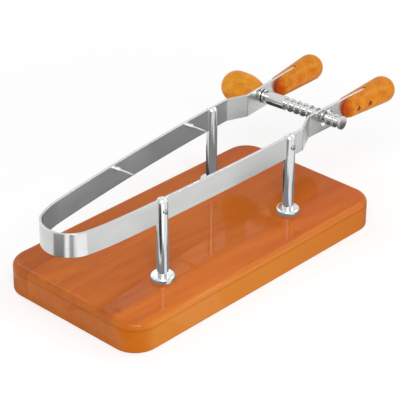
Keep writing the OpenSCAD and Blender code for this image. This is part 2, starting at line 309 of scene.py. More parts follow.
def cylinder_data(radius, start, end, segments, matrix):
    """As lathe_data, for a plain cylinder along local Z."""
    profile = [(0, start), (radius, start), (radius, end), (0, end)]
    return lathe_data(profile, segments, matrix)


def box_data(size, matrix):
    x, y, z = (s / 2 for s in size)
    verts = [
        matrix @ Vector((sx * x, sy * y, sz * z))
        for sx in (-1, 1) for sy in (-1, 1) for sz in (-1, 1)
    ]
    faces = [
        (0, 1, 3, 2), (4, 6, 7, 5), (0, 4, 5, 1),
        (2, 3, 7, 6), (0, 2, 6, 4), (1, 5, 7, 3),
    ]
    return verts, faces


def joined(parts):
    verts, faces = [], []
    for v, f in parts:
        base = len(verts)
        verts += v
        faces += [tuple(i + base for i in face) for face in f]
    return verts, faces


def cut(obj, cutters):
    """Takes closed forms out of a piece, and applies the result."""
    verts, faces = joined(cutters)
    mesh = bpy.data.meshes.new("cutter")
    mesh.from_pydata([tuple(v) for v in verts], [], faces)
    tool = bpy.data.objects.new("cutter", mesh)
    bpy.context.scene.collection.objects.link(tool)
    recalculate(mesh)
    obj.modifiers.clear()
    boolean = obj.modifiers.new("cut", "BOOLEAN")
    boolean.operation = "DIFFERENCE"
    boolean.solver = "EXACT"
    boolean.use_self = True
    boolean.object = tool
    bpy.context.view_layer.update()
    graph = bpy.context.evaluated_depsgraph_get()
    result = bpy.data.meshes.new_from_object(obj.evaluated_get(graph))
    old = obj.data
    obj.modifiers.clear()
    obj.data = result
    bpy.data.meshes.remove(old)
    bpy.data.objects.remove(tool)
    shade(obj)


def frame_at(x, y, z, heading, tip):
    """A matrix at a point: turned about Z, then tipped about local X."""
    turn = Matrix.Rotation(heading, 4, "Z") @ Matrix.Rotation(tip, 4, "X")
    return Matrix.Translation((x, y, z)) @ turn


def along(x, y, z, heading):
    """A matrix whose local Z runs level along the heading."""
    turn = Matrix.Rotation(heading, 4, "Z") @ Matrix.Rotation(math.pi / 2, 4, "Y")
    return Matrix.Translation((x, y, z)) @ turn


# ---------------------------------------------------------------- shader nodes


def srgb(r, g, b):
    """A linear colour from the 0 to 255 values that a screen shows."""
    return [
        c / 255 / 12.92 if c / 255 <= 0.04045 else ((c / 255 + 0.055) / 1.055) ** 2.4
        for c in (r, g, b)
    ] + [1.0]


def grey(v):
    return (v, v, v, 1)


def shader(name):
    material = bpy.data.materials.new(name)
    material.use_nodes = True
    tree = material.node_tree
    return material, tree, tree.nodes["Principled BSDF"]


def add(tree, kind, **values):
    node = tree.nodes.new(kind)
    for key, value in values.items():
        if key in node.inputs:
            node.inputs[key].default_value = value
        else:
            setattr(node, key, value)
    return node


def feed(tree, value, socket):
    """Links an output to a socket, or sets the socket to a plain value."""
    if hasattr(value, "is_output"):
        tree.links.new(value, socket)
    else:
        socket.default_value = value


def noise(tree, vector, scale, detail=3.0, roughness=0.5, distortion=0.0):
    node = add(tree, "ShaderNodeTexNoise", Scale=scale, Detail=detail,
               Roughness=roughness, Distortion=distortion)
    tree.links.new(vector, node.inputs["Vector"])
    return node.outputs["Fac"]


def stretched(tree, source, scale):
    node = add(tree, "ShaderNodeMapping")
    node.inputs["Scale"].default_value = scale
    tree.links.new(source, node.inputs["Vector"])
    return node.outputs["Vector"]


def parts_of(tree, vector):
    """The X, Y and Z of a vector."""
    node = tree.nodes.new("ShaderNodeSeparateXYZ")
    tree.links.new(vector, node.inputs[0])
    return [node.outputs[axis] for axis in "XYZ"]


def ramp(tree, value, stops):
    node = tree.nodes.new("ShaderNodeValToRGB")
    elements = node.color_ramp.elements
    while len(elements) < len(stops):
        elements.new(0.5)
    for element, (place, colour) in zip(elements, stops):
        element.position = place
        element.color = colour
    tree.links.new(value, node.inputs["Fac"])
    return node.outputs["Color"]


def blended(tree, factor, a, b, kind="MIX"):
    """Two colours blended; the node's colour sockets are known by number."""
    node = add(tree, "ShaderNodeMix", data_type="RGBA", blend_type=kind)
    for value, socket in ((factor, 0), (a, 6), (b, 7)):
        feed(tree, value, node.inputs[socket])
    return node.outputs[2]


def maths(tree, operation, a, b=0.0, c=0.0):
    node = add(tree, "ShaderNodeMath", operation=operation)
    for socket, value in enumerate((a, b, c)):
        feed(tree, value, node.inputs[socket])
    return node.outputs[0]


def bump(tree, height, shader_node, strength, distance):
    node = add(tree, "ShaderNodeBump", Strength=strength, Distance=distance)
    tree.links.new(height, node.inputs["Height"])
    tree.links.new(node.outputs["Normal"], shader_node.inputs["Normal"])


# ---------------------------------------------------------------- materials

STAVE_WIDTH = 45.4 * MM
# How far the figure of the grain moves from one stave to the next
STAVE_SHIFT_X, STAVE_SHIFT_Z = 0.37, 0.11


def stave_place(tree, place, number):
    """The place on the board, moved on for each stave."""
    shift = tree.nodes.new("ShaderNodeCombineXYZ")
    tree.links.new(maths(tree, "MULTIPLY", number, STAVE_SHIFT_X), shift.inputs["X"])
    tree.links.new(maths(tree, "MULTIPLY", number, STAVE_SHIFT_Z), shift.inputs["Z"])
    moved = add(tree, "ShaderNodeVectorMath", operation="ADD")
    tree.links.new(place, moved.inputs[0])
    tree.links.new(shift.outputs[0], moved.inputs[1])
    return moved.outputs[0]


def smoke_stain(tree, colour, place, x, upward):
    """Smoky patches on the top, strongest at the end under the bend."""
    cloud = noise(tree, stretched(tree, place, (5, 20, 14)), 1.0, 4, 0.6, 0.5)
    patches = ramp(tree, cloud, [(0.38, grey(0)), (0.66, grey(1))])
    left = maths(tree, "MULTIPLY_ADD", x, -2.6, 0.1)
    smoke = maths(tree, "MULTIPLY", patches, maths(tree, "MAXIMUM", left, 0.1))
    top = maths(tree, "MULTIPLY_ADD", upward, 0.85, 0.15)
    smoke = maths(tree, "MULTIPLY", smoke, maths(tree, "MAXIMUM", top, 0.15))
    return blended(tree, smoke, colour, srgb(150, 62, 30))


def side_tones_and_painted_light(tree, colour, x, facing_x, facing_y):
    """Painted light paling the long sides, painted shade darkening and reddening the
    wood towards the handles, duller ends, deeper orange corners.
    """
    # Painted light: faces towards either long side made paler and yellower
    flank = ramp(tree, facing_y, [(0.55, grey(0)), (0.95, grey(0.75))])
    colour = blended(tree, flank, colour, srgb(216, 136, 50))
    # Painted shade: darker and redder towards the handles, where the light falls off
    right = maths(tree, "MAXIMUM", maths(tree, "MULTIPLY", x, 1.8), 0.0)
    colour = blended(tree, right, colour, srgb(186, 78, 20))
    end = maths(tree, "MULTIPLY", facing_x, 0.4)
    colour = blended(tree, end, colour, srgb(158, 98, 50))
    corner = maths(tree, "MULTIPLY", maths(tree, "MULTIPLY", facing_x, facing_y), 1.6)
    return blended(tree, corner, colour, srgb(196, 103, 8))


def painted_rim_shade(tree, colour, z):
    """Painted shade: a dark line under the rounded top edge and a dark band along the
    bottom, where shadow falls.
    """
    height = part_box("base_board")[1].z
    rim = ramp(tree, maths(tree, "DIVIDE", z, height), [
        (0.0, (0.55, 0.40, 0.30, 1)), (0.07, grey(1)), (0.70, grey(1)),
        (0.765, (0.86, 0.74, 0.62, 1)), (0.82, grey(1)), (1.0, grey(1))])
    return blended(tree, 1.0, colour, rim, "MULTIPLY")


def stave_tones(tree, colour, across, number):
    """A tone of its own for each stave, and darker glue lines between them."""
    tone = maths(tree, "SINE", maths(tree, "MULTIPLY", number, 2.3))
    tone = maths(tree, "MULTIPLY_ADD", tone, 0.05, 0.96)
    tint = tree.nodes.new("ShaderNodeCombineColor")
    for socket in ("Red", "Green", "Blue"):
        tree.links.new(tone, tint.inputs[socket])
    colour = blended(tree, 1.0, colour, tint.outputs[0], "MULTIPLY")
    inside = maths(tree, "SUBTRACT", maths(tree, "FRACT", across), 0.5)
    glue = ramp(tree, maths(tree, "ABSOLUTE", inside),
                [(0.485, grey(1)), (0.497, grey(0.86))])
    return blended(tree, 1.0, colour, glue, "MULTIPLY")


def board_wood():
    """Glued staves of stained cherry under gloss varnish, grain along X."""
    material, tree, wood = shader("board_wood")
    source = tree.nodes.new("ShaderNodeTexCoord")
    place = source.outputs["Object"]
    x, y, z = parts_of(tree, place)
    normal_x, normal_y, normal_z = parts_of(tree, source.outputs["Normal"])
    across = maths(tree, "ADD", maths(tree, "DIVIDE", y, STAVE_WIDTH), 0.5)
    number = maths(tree, "FLOOR", across)
    moved = stave_place(tree, place, number)
    broad = noise(tree, stretched(tree, moved, (3.2, 26, 20)), 1.0, 4, 0.55, 0.6)
    fine = noise(tree, stretched(tree, moved, (9, 330, 260)), 1.0, 5, 0.6, 0.2)
    colour = ramp(tree, broad, [
        (0.28, srgb(200, 94, 20)), (0.45, srgb(211, 107, 27)),
        (0.58, srgb(215, 113, 30)), (0.75, srgb(221, 123, 38)),
    ])
    colour = blended(tree, 0.14, colour, ramp(tree, fine, [
        (0.3, srgb(168, 70, 14)), (0.7, srgb(232, 136, 48))]))
    colour = smoke_stain(tree, colour, place, x, normal_z)
    # Painted light on the long sides, painted shade towards the handles
    colour = side_tones_and_painted_light(tree, colour, x, maths(tree, "ABSOLUTE", normal_x),
                        maths(tree, "ABSOLUTE", normal_y))
    # Painted shade under the rounded top edge and along the bottom
    colour = painted_rim_shade(tree, colour, z)
    colour = stave_tones(tree, colour, across, number)
    tree.links.new(colour, wood.inputs["Base Color"])
    tree.links.new(ramp(tree, fine, [(0.2, grey(0.30)), (0.8, grey(0.42))]),
                   wood.inputs["Roughness"])
    bump(tree, fine, wood, 0.1, 0.3 * MM)
    wood.inputs["Specular IOR Level"].default_value = 0.03
    wood.inputs["Coat Weight"].default_value = 0.24
    wood.inputs["Coat Roughness"].default_value = 0.05
    return material


def turned_wood(name, light, mid, dark, end):
    """Stained and varnished turned wood, mottled, with its own end grain."""
    material, tree, wood = shader(name)
    source = tree.nodes.new("ShaderNodeTexCoord")
    place = source.outputs["Object"]
    grain = noise(tree, stretched(tree, place, (240, 240, 26)), 1.0, 4, 0.6, 0.3)
    mottle = noise(tree, place, 75, 4, 0.65, 0.6)
    speck = noise(tree, place, 330, 2, 0.6)
    colour = ramp(tree, mottle, [(0.32, dark), (0.5, mid), (0.68, light)])
    colour = blended(tree, 0.3, colour, ramp(tree, grain, [
        (0.3, dark), (0.7, light)]))
    colour = blended(tree, 0.16, colour, ramp(tree, speck, [
        (0.4, dark), (0.6, light)]))
    neckward = maths(tree, "MULTIPLY", parts_of(tree, source.outputs["Normal"])[2], -1.0)
    amount = ramp(tree, neckward, [(0.25, grey(0)), (0.85, grey(0.85))])
    colour = blended(tree, amount, colour, end)
    tree.links.new(colour, wood.inputs["Base Color"])
    tree.links.new(ramp(tree, mottle, [(0.2, grey(0.30)), (0.8, grey(0.44))]),
                   wood.inputs["Roughness"])
    bump(tree, grain, wood, 0.15, 0.2 * MM)
    wood.inputs["Specular IOR Level"].default_value = 0.06
    wood.inputs["Coat Weight"].default_value = 0.08
    wood.inputs["Coat Roughness"].default_value = 0.08
    return material


def brushed_band():
    """Flat bar brushed along its length; the UV map runs along the band."""
    material, tree, steel = shader("band_steel")
    place = tree.nodes.new("ShaderNodeTexCoord").outputs["UV"]
    lines = noise(tree, stretched(tree, place, (14, 2600, 1)), 1.0, 5, 0.65)
    clouds = noise(tree, stretched(tree, place, (16, 60, 1)), 1.0, 3, 0.5)
    colour = ramp(tree, lines, [(0.25, grey(0.56)), (0.75, grey(0.66))])
    colour = blended(tree, 0.4, colour, ramp(tree, clouds, [
        (0.3, (0.55, 0.56, 0.54, 1)), (0.7, (0.66, 0.66, 0.65, 1))]))
    tree.links.new(colour, steel.inputs["Base Color"])
    steel.inputs["Metallic"].default_value = 1.0
    tree.links.new(ramp(tree, lines, [(0.2, grey(0.19)), (0.8, grey(0.27))]),
                   steel.inputs["Roughness"])
    bump(tree, lines, steel, 0.15, 0.05 * MM)
    brushing = add(tree, "ShaderNodeTangent", direction_type="UV_MAP")
    tree.links.new(brushing.outputs[0], steel.inputs["Tangent"])
    steel.inputs["Anisotropic"].default_value = 0.6
    steel.inputs["Anisotropic Rotation"].default_value = 0.25
    return material


def polished(name, tint, rough, rough_spread, swirl):
    """Turned and polished steel with faint turning marks round its axis."""
    material, tree, steel = shader(name)
    place = tree.nodes.new("ShaderNodeTexCoord").outputs["Object"]
    marks = noise(tree, stretched(tree, place, (20, 20, swirl)), 1.0, 4, 0.6)
    haze = noise(tree, place, 90, 3, 0.5)
    tree.links.new(ramp(tree, haze, [
        (0.3, [c * 0.94 for c in tint] + [1]), (0.7, list(tint) + [1])]),
        steel.inputs["Base Color"])
    steel.inputs["Metallic"].default_value = 1.0
    tree.links.new(ramp(tree, marks, [
        (0.2, grey(rough)), (0.8, grey(rough + rough_spread))]),
        steel.inputs["Roughness"])
    bump(tree, marks, steel, 0.06, 0.02 * MM)
    return material


BOARD = board_wood()
GRIP = turned_wood("grip_wood", light=srgb(234, 156, 44), mid=srgb(220, 133, 24),
                   dark=srgb(192, 92, 10), end=srgb(190, 66, 16))
KNOB = turned_wood("knob_wood", light=srgb(242, 174, 58), mid=srgb(231, 151, 36),
                   dark=srgb(204, 112, 18), end=srgb(222, 128, 44))
BAND = brushed_band()
CHROME = polished("post_chrome", (0.74, 0.745, 0.75),
                  rough=0.08, rough_spread=0.08, swirl=900)
ROD_STEEL = polished("rod_steel", (0.66, 0.66, 0.65),
                     rough=0.08, rough_spread=0.10, swirl=1400)
SCREW_STEEL = polished("screw_steel", (0.52, 0.52, 0.51),
                       rough=0.16, rough_spread=0.15, swirl=700)
SPIKE_STEEL = polished("spike_steel", (0.72, 0.72, 0.71),
                       rough=0.14, rough_spread=0.12, swirl=1800)

# ---------------------------------------------------------------- board


def plan_loop(inset, z, corner_steps=14):
    """A loop of the board's rounded plan, drawn in by inset, at height z."""
    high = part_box("base_board")[1]
    corner_r = 31 * MM
    cx, cy = high.x - corner_r, high.y - corner_r
    loop = []
    for k, (sx, sy) in enumerate(((1, 1), (-1, 1), (-1, -1), (1, -1))):
        for i in range(corner_steps + 1):
            a = math.pi / 2 * (k + i / corner_steps)
            r = corner_r - inset
            loop.append((sx * cx + r * math.cos(a), sy * cy + r * math.sin(a), z))
    return loop


def board_levels(top):
    """(inset, height) of each plan loop, from the underside to the top."""
    top_r, bottom_r, flat_rim = 8.5 * MM, 2 * MM, 6 * MM
    top_steps, bottom_steps = 10, 4
    levels = [(flat_rim, 0.0)]
    for i in range(bottom_steps + 1):
        a = math.pi / 2 * i / bottom_steps
        levels.append((bottom_r * (1 - math.sin(a)), bottom_r * (1 - math.cos(a))))
    for i in range(top_steps + 1):
        a = math.pi / 2 * i / top_steps
        levels.append((top_r * (1 - math.cos(a)), top - top_r * (1 - math.sin(a))))
    return [*levels, (top_r + flat_rim, top)]


def board():
    """The board, with a sink under each front post for its anchor screw."""
    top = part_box("base_board")[1].z
    loops = [plan_loop(inset, z) for inset, z in board_levels(top)]
    obj = new_piece("board", sum(loops, []), skin(len(loops[0]), len(loops)), BOARD)
    sink_r, sink_depth = 11 * MM, 9 * MM
    sinks = []
    for node in ("post_front_left", "post_front_right"):
        p = middle(node)
        at = Matrix.Translation((p.x, p.y, 0))
        sinks.append(cylinder_data(sink_r, -MM, sink_depth, 48, at))
    cut(obj, sinks)
    # The photo's polished steel shows no orange from the board
    obj.visible_glossy = False
    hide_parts("base_board")
    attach(obj, "base")


# ---------------------------------------------------------------- band


def band_stations():
    """Poses along the whole bar, from the front tang to the rear tang."""
    front = [(x, y, h + math.pi, -run) for x, y, h, run in reversed(walk(FRONT_PATH))]
    return front[:-1] + walk(REAR_PATH)


def band():
    """Both arms and the bend as one bar, with a UV map along it."""
    stations = band_stations()
    half = BAND_THICKNESS / 2
    section = fillet(
        [(0, BAND_BOTTOM), (half, BAND_BOTTOM), (half, BAND_TOP),
         (-half, BAND_TOP), (-half, BAND_BOTTOM), (0, BAND_BOTTOM)],
        [0, BAND_EDGE, BAND_EDGE, BAND_EDGE, BAND_EDGE, 0], 3)[:-1]
    verts, marks = [], []
    for x, y, h, run in stations:
        for n, z in section:
            verts.append((x - n * math.sin(h), y + n * math.cos(h), z))
            marks.append((run, z + n))
    mesh = bpy.data.meshes.new("spring_band")
    mesh.from_pydata(verts, [], skin(len(section), len(stations)))
    layer = mesh.uv_layers.new(name="along_band")
    for loop in mesh.loops:
        layer.data[loop.index].uv = marks[loop.vertex_index]
    recalculate(mesh)
    obj = finish_mesh(mesh, "spring_band", BAND)
    cut(obj, [window_cutter(), hole_cutter()])
    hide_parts("front_band", "rear_band")
    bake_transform(obj)


def window_cutter(steps=24):
    """The oblong window in the front arm that the rod goes through."""
    y = tail_pose(FRONT_PATH)[1]
    centre_x = ROD_X + rod_reach() * math.sin(ROD_YAW) - WINDOW_SHIFT
    outline = []
    for side, start in ((1, -math.pi / 2), (-1, math.pi / 2)):
        for i in range(steps + 1):
            a = start + math.pi * i / steps
            outline.append((centre_x + side * WINDOW_HALF + WINDOW_R * math.cos(a),
                            BAND_LEVEL + WINDOW_R * math.sin(a)))
    verts = [Vector((x, y + reach, z))
             for reach in (-OVERRUN, OVERRUN) for x, z in outline]
    return verts, skin(len(outline), 2)


def hole_cutter():
    """The round hole in the rear arm for the rod's bush."""
    at = frame_at(ROD_X, ROD_Y, BAND_LEVEL, REAR_HEADING, math.pi / 2)
    return cylinder_data(BUSH_HOLE_R, -OVERRUN, OVERRUN, 64, at)


# ---------------------------------------------------------------- posts


def post_heading(node):
    return math.radians(POST_HEADINGS[node])


def post_profile(r, bottom, top):
    """A round bar with a domed top that meets its side in a soft corner."""
    dome, shoulder, steps = 5 * MM, 0.4 * MM, 10
    ball = (r * r + dome * dome) / (2 * dome)
    limit = math.acos((ball - dome) / ball)
    profile = [(0, bottom), (r, bottom), (r, top - dome - shoulder)]
    for i in range(steps):
        a = limit * (1 - i / steps)
        profile.append((ball * math.sin(a), top - ball + ball * math.cos(a)))
    return [*profile, (0, top)]


def post(node, body, outward):
    """A post with a slot for the band and a recess for its cross screw."""
    low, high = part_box(node)
    r = width(node) / 2
    data = lathe_data(post_profile(r, low.z, high.z))
    obj = new_piece(node.replace("post", "column"), *data, CHROME)
    slot_height = high.z - BAND_BOTTOM + OVERRUN
    slot = box_data((4 * r, BAND_THICKNESS + POST_SLOT_GAP, slot_height),
                    Matrix.Translation((0, 0, BAND_BOTTOM + slot_height / 2)))
    across = frame_at(0, 0, BAND_LEVEL, 0, -outward * math.pi / 2)
    recess = cylinder_data(CROSS_RECESS, r - CROSS_SEAT, 3 * r, 40, across)
    cut(obj, [slot])
    cut(obj, [recess])
    p = middle(node)
    obj.matrix_world = frame_at(p.x, p.y, 0, post_heading(node), 0)
    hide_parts(node)
    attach(obj, body)


def driver_slot(wide, deep, matrix):
    """A cutter for a screwdriver slot; local Z = 0 is the head's top."""
    return box_data((12 * MM, wide, 2 * deep), matrix)


def screw_data(r, matrix):
    """A cross screw, local +Z out of its head, with a crowned head."""
    seat = r - CROSS_SEAT
    end_gap, crown = 0.5 * MM, 0.5 * MM
    head = fillet(
        [(0, end_gap - r), (CROSS_SHANK, end_gap - r), (CROSS_SHANK, seat),
         (CROSS_HEAD, seat), (CROSS_HEAD, r - crown),
         (CROSS_HEAD / 2, r - 0.1 * MM), (0, r)],
        [0, 0.3 * MM, 0, 0.15 * MM, 0.5 * MM, 1.5 * MM, 0], 4)
    return lathe_data(head, 40, matrix)


def screws(name, posts, node, body, outward):
    """The slotted cross screws in a row of posts, as one piece."""
    slot_wide, slot_deep, slot_lean = 1.3 * MM, 1.2 * MM, math.radians(35)
    parts, slots = [], []
    for post_node in posts:
        p, r = middle(post_node), width(post_node) / 2
        at = frame_at(p.x, p.y, BAND_LEVEL, post_heading(post_node),
                      -outward * math.pi / 2)
        parts.append(screw_data(r, at))
        slots.append(driver_slot(slot_wide, slot_deep,
                                 at @ frame_at(0, 0, r, slot_lean, 0)))
    obj = new_piece(name, *joined(parts), SCREW_STEEL)
    for slot in slots:
        cut(obj, [slot])
    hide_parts(node)
    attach(obj, body)


def foot(node, body):
    """A collar at the foot of a post: a narrow skirt under a rounded rim."""
    low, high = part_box(node)
    r, h = width(node) / 2, high.z - low.z
    bore, edge = 7.02 * MM, 2.5 * MM
    skirt_r, skirt_flare = r - edge / 2, 0.2 * MM
    skirt_top, rim_bottom = 1.6 * MM, 2.6 * MM
    profile = fillet(
        [(bore, 0), (skirt_r, 0), (skirt_r + skirt_flare, skirt_top),
         (r, rim_bottom), (r, h), (bore, h)],
        [0, 0.3 * MM, 0.6 * MM, 0.8 * MM, edge, 0.3 * MM], 8)
    p = middle(node)
    obj = turned_piece(node.replace("foot", "collar"), tube_data(profile, 96),
                       CHROME, 40)
    obj.matrix_world = Matrix.Translation((p.x, p.y, low.z))
    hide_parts(node)
    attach(obj, body)


# ---------------------------------------------------------------- handles


def handle_profile():
    """From the neck's rounded edge along a straight flank to the bulb."""
    neck, bulb, edge = HANDLE_NECK, HANDLE_BULB, HANDLE_EDGE
    edge_steps, flank_steps, bulb_steps = 14, 8, 22
    top = HANDLE_LENGTH - bulb
    reach = math.hypot(neck - edge, top - edge)
    lean = math.asin((bulb - edge) / reach) - math.atan2(neck - edge, top - edge)
    profile = [(0, 0), (neck - edge, 0)]
    for i in range(1, edge_steps + 1):
        a = -math.pi / 2 + (math.pi / 2 - lean) * i / edge_steps
        profile.append((neck - edge + edge * math.cos(a), edge + edge * math.sin(a)))
    start = profile[-1]
    end = (bulb * math.cos(lean), top - bulb * math.sin(lean))
    for i in range(1, flank_steps):
        t = i / flank_steps
        profile.append((start[0] + (end[0] - start[0]) * t,
                        start[1] + (end[1] - start[1]) * t))
    for i in range(bulb_steps):
        a = -lean + (math.pi / 2 + lean) * i / bulb_steps
        profile.append((bulb * math.cos(a), top + bulb * math.sin(a)))
    return [*profile, (0, HANDLE_LENGTH)]


def screw_seat(place):
    """Distance from a handle's axis to the seat of a screw head in it."""
    swell = (HANDLE_BULB - HANDLE_NECK) / HANDLE_LENGTH
    return HANDLE_NECK + swell * place - GRIP_RECESS - GRIP_HEAD_HEIGHT


def screw_matrix(place, side):
    """Local +Z out of a screw's head, in the handle's own frame."""
    turn = Matrix.Rotation(-side * math.pi / 2, 4, "X")
    return Matrix.Translation((0, 0, place)) @ turn


def handle(name, node, body, path, tail, side):
    """A grip with a slot for the bar's tang and a bore for each screw."""
    obj = turned_piece(name, lathe_data(handle_profile(), 96), GRIP)
    slot = box_data(
        (4 * HANDLE_NECK, BAND_THICKNESS + TANG_SLOT_GAP, TANG_SLOT_DEPTH + OVERRUN),
        Matrix.Translation((0, 0, (TANG_SLOT_DEPTH - OVERRUN) / 2)))
    cut(obj, [slot])
    for place in GRIP_SCREWS:
        bore = cylinder_data(GRIP_HEAD + GRIP_HEAD_GAP, screw_seat(place),
                             HANDLE_BULB + OVERRUN, 40, screw_matrix(place, side))
        cut(obj, [bore])
    x, y, h = tail_pose(path, tail)
    obj.matrix_world = along(x, y, BAND_LEVEL, h)
    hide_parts(node)
    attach(obj, body)


def handle_screws(name, node, body, path, tail, side):
    """The two slotted screws of a grip, as one piece."""
    shank, shank_end, crown = 2.2 * MM, -8 * MM, 0.3 * MM
    slot_wide, slot_deep = 1.1 * MM, 1 * MM
    first_turn, turn_step = 75, -30
    x, y, h = tail_pose(path, tail)
    parts, slots = [], []
    for number, place in enumerate(GRIP_SCREWS):
        seat = screw_seat(place)
        top = seat + GRIP_HEAD_HEIGHT
        profile = fillet(
            [(0, shank_end), (shank, shank_end), (shank, seat), (GRIP_HEAD, seat),
             (GRIP_HEAD, top - crown), (0, top + crown)],
            [0, 0.4 * MM, 0, 0.2 * MM, 0.8 * MM, 0], 5)
        at = along(x, y, BAND_LEVEL, h) @ screw_matrix(place, side)
        turn = math.radians(first_turn + turn_step * number)
        parts.append(lathe_data(profile, 40, at))
        slots.append(driver_slot(slot_wide, slot_deep,
                                 at @ frame_at(0, 0, top, turn, 0)))
    obj = new_piece(name, *joined(parts), SCREW_STEEL)
    for slot in slots:
        cut(obj, [slot])
    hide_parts(node)
    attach(obj, body)


# ---------------------------------------------------------------- rod


def rod_frame():
    """Local +Z runs along the rod, from the rear arm to the front arm."""
    return frame_at(ROD_X, ROD_Y, BAND_LEVEL, ROD_YAW, math.pi / 2)


def rod_profile():
    """Stud and neck, the plain shank, then the rings on a thin core."""
    rod_r, neck_r, core_r, stud_r = 8.7 * MM, 4.5 * MM, 4.3 * MM, 4 * MM
    stud_end = -KNOB_BASE - 18 * MM
    pitch, thick, count = 9.7 * MM, 3.2 * MM, 9
    # The ring that stands just outside the front arm, and its air there
    holding_ring, stand = 7, 0.95 * MM
    first = (rod_reach() + BAND_THICKNESS / 2 + stand + thick / 2
             - (holding_ring - 1) * pitch)
    shank_start, shank_end = 9.5 * MM, first - pitch + thick / 2
    root, rim = 0.5 * MM, 0.45 * MM
    points = [(0, stud_end), (stud_r, stud_end), (stud_r, -KNOB_BASE),
              (neck_r, -KNOB_BASE), (neck_r, shank_start), (rod_r, shank_start),
              (rod_r, shank_end), (core_r, shank_end)]
    radii = [0, 0.4 * MM, 0, 0, 0, 0.9 * MM, root, root]
    for k in range(count):
        z = first + k * pitch
        points += [(core_r, z - thick / 2), (rod_r, z - thick / 2),
                   (rod_r, z + thick / 2), (core_r, z + thick / 2)]
        radii += [root, rim, rim, root]
    # The last ring closes on the axis
    points[-1], radii[-1] = (0, points[-1][1]), 0
    return fillet(points, radii, 4)


def lock_rod():
    obj = turned_piece("ringed_rod", lathe_data(rod_profile()), ROD_STEEL)
    obj.matrix_world = rod_frame()
    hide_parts("lock_rod")
    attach(obj, "locking_rod")


def bush():
    """The loose bush of the rod, with its flange on the ham's side."""
    bore, sleeve_r, flange_r = 4.55 * MM, 6.2 * MM, 9.2 * MM
    sleeve_end, flange_start, flange_end = -4.5 * MM, 2.7 * MM, 5.2 * MM
    profile = fillet(
        [(bore, sleeve_end), (sleeve_r, sleeve_end), (sleeve_r, flange_start),
         (flange_r, flange_start), (flange_r, flange_end), (bore, flange_end)],
        [0, 0.2 * MM, 0.2 * MM, 0.5 * MM, 0.5 * MM, 0.2 * MM], 4)
    obj = turned_piece("swivel_bush", tube_data(profile), ROD_STEEL)
    obj.matrix_world = rod_frame()
    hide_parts("rod_bush")
    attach(obj, "rod_swivel")


def bush_ring():
    """The ring that holds the bush in the rear arm."""
    bore, ring_r = 6.22 * MM, 9 * MM
    ring_start, ring_end = -4.5 * MM, -2.7 * MM
    profile = fillet(
        [(bore, ring_start), (ring_r, ring_start), (ring_r, ring_end),
         (bore, ring_end)], [0, 0.4 * MM, 0.4 * MM, 0.2 * MM], 4)
    ring = turned_piece("swivel_ring", tube_data(profile), ROD_STEEL)
    ring.matrix_world = rod_frame()
    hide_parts("bush_ring")
    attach(ring, "rod_swivel")


def knob_profile():
    """A small foot, a flank that swells to the waist, and a round end."""
    r, flank_r, flank, waist = 21 * MM, 52.5 * MM, 29.8 * MM, 8 * MM
    flank_steps, end_steps = 14, 20
    start = math.asin(flank / flank_r)
    foot_r = r - flank_r + flank_r * math.cos(start)
    profile = [(0, 0), (foot_r - 1.2 * MM, 0), (foot_r - 0.3 * MM, 0.4 * MM)]
    for i in range(1, flank_steps + 1):
        a = start * (1 - i / flank_steps)
        profile.append((r - flank_r + flank_r * math.cos(a),
                        flank - flank_r * math.sin(a)))
    for i in range(end_steps):
        a = math.pi / 2 * i / end_steps
        profile.append((r * math.cos(a), flank + waist + r * math.sin(a)))
    return [*profile, (0, flank + waist + r)]


def knob():
    obj = turned_piece("knob_ball", lathe_data(knob_profile(), 96), KNOB)
    obj.matrix_world = (rod_frame() @ Matrix.Translation((0, 0, -KNOB_BASE))
                        @ Matrix.Rotation(math.pi, 4, "X"))
    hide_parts("knob")
    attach(obj, "locking_rod")


# ---------------------------------------------------------------- spikes


def spike_profile():
    """A pin in the bar, a shoulder on its face and a long ground point."""
    face = BAND_THICKNESS / 2
    back = 0.05 * MM - face
    pin_r, shoulder_r, shoulder_top = 2 * MM, 3 * MM, face + 5.5 * MM
    root_r, taper_r, taper_start = 1.6 * MM, 1.35 * MM, face + 20 * MM
    tip_r, tip_start, tip = 0.2 * MM, face + 27.8 * MM, face + 28 * MM
    return fillet(
        [(0, back), (pin_r, back), (pin_r, face), (shoulder_r, face),
         (shoulder_r, shoulder_top), (root_r, shoulder_top),
         (taper_r, taper_start), (tip_r, tip_start), (0, tip)],
        [0, 0, 0, 0.3 * MM, 0.6 * MM, 0.4 * MM, 8 * MM, 0.1 * MM, 0], 5)


def spikes():
    """Two points on the rear arm's long stretch, aimed at the ham."""
    level = BAND_LEVEL + 8 * MM
    x, y, h = start_pose(REAR_PATH)
    for length, turn in REAR_PATH[:2]:
        x, y, h = arc_step(x, y, h, length, math.radians(turn))
    length, turn = REAR_PATH[2]
    parts = []
    for share in SPIKE_SHARES:
        sx, sy, sh = arc_step(x, y, h, length * share, math.radians(turn) * share)
        parts.append(lathe_data(spike_profile(), 36,
                                frame_at(sx, sy, level, sh, math.pi / 2)))
    obj = turned_piece("ham_points", joined(parts), SPIKE_STEEL, 50)
    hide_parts("rear_spikes")
    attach(obj, "rear_arm")


# ---------------------------------------------------------------- build

board()
band()
for side_name in ("left", "right"):
    post("post_front_" + side_name, "base", -1)
    foot("foot_front_" + side_name, "base")
post("post_rear", "rear_arm", 1)
foot("foot_rear", "rear_arm")
screws("front_cross_screws", ["post_front_left", "post_front_right"],
       "front_post_screws", "base", -1)
screws("rear_cross_screw", ["post_rear"], "rear_post_screw", "rear_arm", 1)
for make, kind, node_end in ((handle, "grip", "handle"),
                             (handle_screws, "grip_screws", "handle_screws")):
    make("front_" + kind, "front_" + node_end, "base", FRONT_PATH, FRONT_TAIL, -1)
    make("rear_" + kind, "rear_" + node_end, "rear_arm", REAR_PATH, REAR_TAIL, 1)
lock_rod()
bush()
bush_ring()
knob()
spikes()
for cad_node in ("anchor_screws", "anchor_washers"):
    node_object = frame["nodes"][cad_node]
    node_object.data.materials.clear()
    node_object.data.materials.append(SCREW_STEEL)

# ---------------------------------------------------------------- stage


